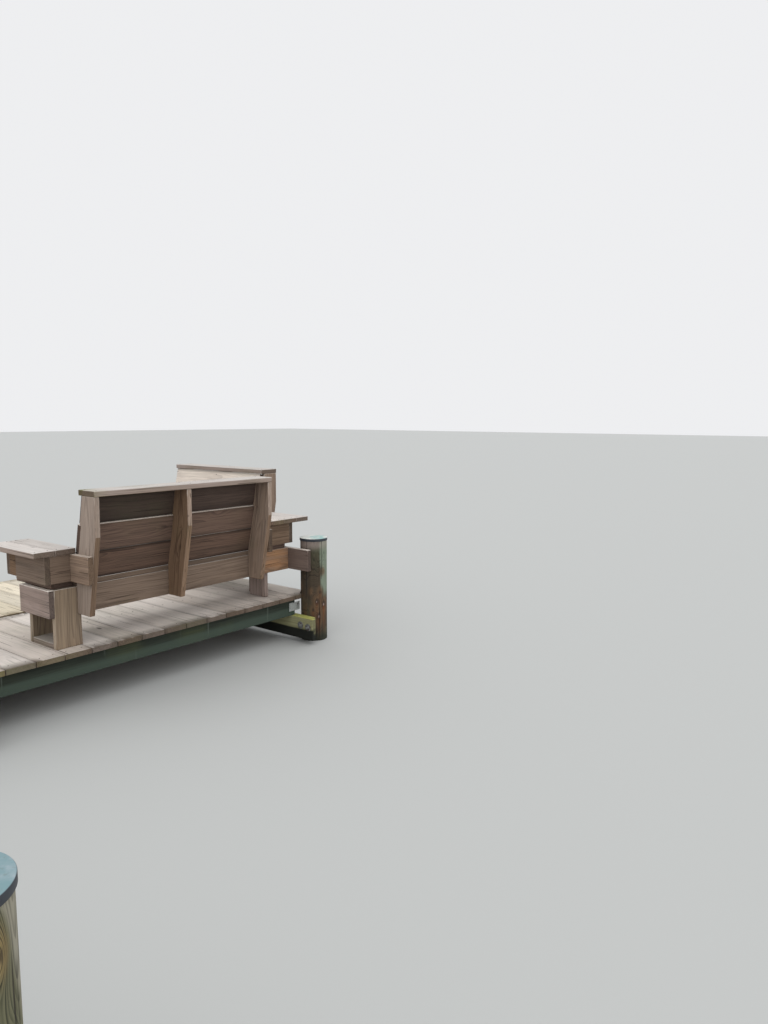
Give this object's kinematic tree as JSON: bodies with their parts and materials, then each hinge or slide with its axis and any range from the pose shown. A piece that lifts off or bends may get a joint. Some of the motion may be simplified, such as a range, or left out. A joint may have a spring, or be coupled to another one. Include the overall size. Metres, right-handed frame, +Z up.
{
  "type": "wooden jetty with corner benches",
  "caption": "Timber jetty head on round piles with a walkway joining its side and an L of high-backed benches with boxed arm tables round its outer corner.",
  "frame": {"origin": "centre of the corner pile's foot, at the water line", "axes": "+X along the head's near edge and out past its end, +Y across the head away from the walkway, +Z up"},
  "size_m": [6.3508, 8.8289, 1.437],
  "materials": {
    "weathered_decking": "weathered planks",
    "newer_decking": "newer planks, yellower",
    "joist_timber": "treated timber, green with algae",
    "beam_timber": "treated timber, wet below",
    "pile_timber": "round treated timber, checked and stained",
    "bench_frame_timber": "weathered brown boards",
    "bench_top_timber": "boards bleached by the sun",
    "cap_sheet": "pale sheet with a dark rim"
  },
  "bodies": {
    "root": {"head_deck_near": "weathered_decking", "walkway_deck": "weathered_decking", "head_deck_far": "newer_decking", "head_joists_near": "joist_timber", "head_joists_far": "joist_timber", "walkway_joists": "joist_timber", "head_beam_inner_plies": "beam_timber", "head_beam_outer_plies": "beam_timber", "walkway_beam_inner_plies": "beam_timber", "walkway_beam_outer_plies": "beam_timber", "corner_pile": "pile_timber", "near_row_piles": "pile_timber", "far_row_piles": "pile_timber", "walkway_piles": "pile_timber", "near_aprons": "bench_frame_timber", "end_aprons": "bench_frame_timber", "near_back_uprights": "bench_frame_timber", "end_back_uprights": "bench_frame_timber", "near_back_slats": "bench_frame_timber", "end_back_slats": "bench_frame_timber", "near_arm_legs": "bench_frame_timber", "end_arm_legs": "bench_frame_timber", "near_arm_side_apron": "bench_frame_timber", "end_arm_side_apron": "bench_frame_timber", "near_arm_box_sides": "bench_frame_timber", "end_arm_box_sides": "bench_frame_timber", "near_arm_box_ends": "bench_frame_timber", "end_arm_box_ends": "bench_frame_timber", "near_arm_face_board": "bench_frame_timber", "end_arm_face_board": "bench_frame_timber", "corner_leg_near": "bench_frame_timber", "corner_leg_end": "bench_frame_timber", "corner_box_sides": "bench_frame_timber", "corner_box_ends": "bench_frame_timber", "table_spacers": "bench_frame_timber", "leg_foot_plates": "bench_frame_timber", "near_seat": "bench_top_timber", "end_seat": "bench_top_timber", "near_back_cap": "bench_top_timber", "end_back_cap": "bench_top_timber", "near_arm_top": "bench_top_timber", "end_arm_top": "bench_top_timber", "corner_top": "bench_top_timber", "pile_caps": "cap_sheet"}
  },
  "joints": []
}
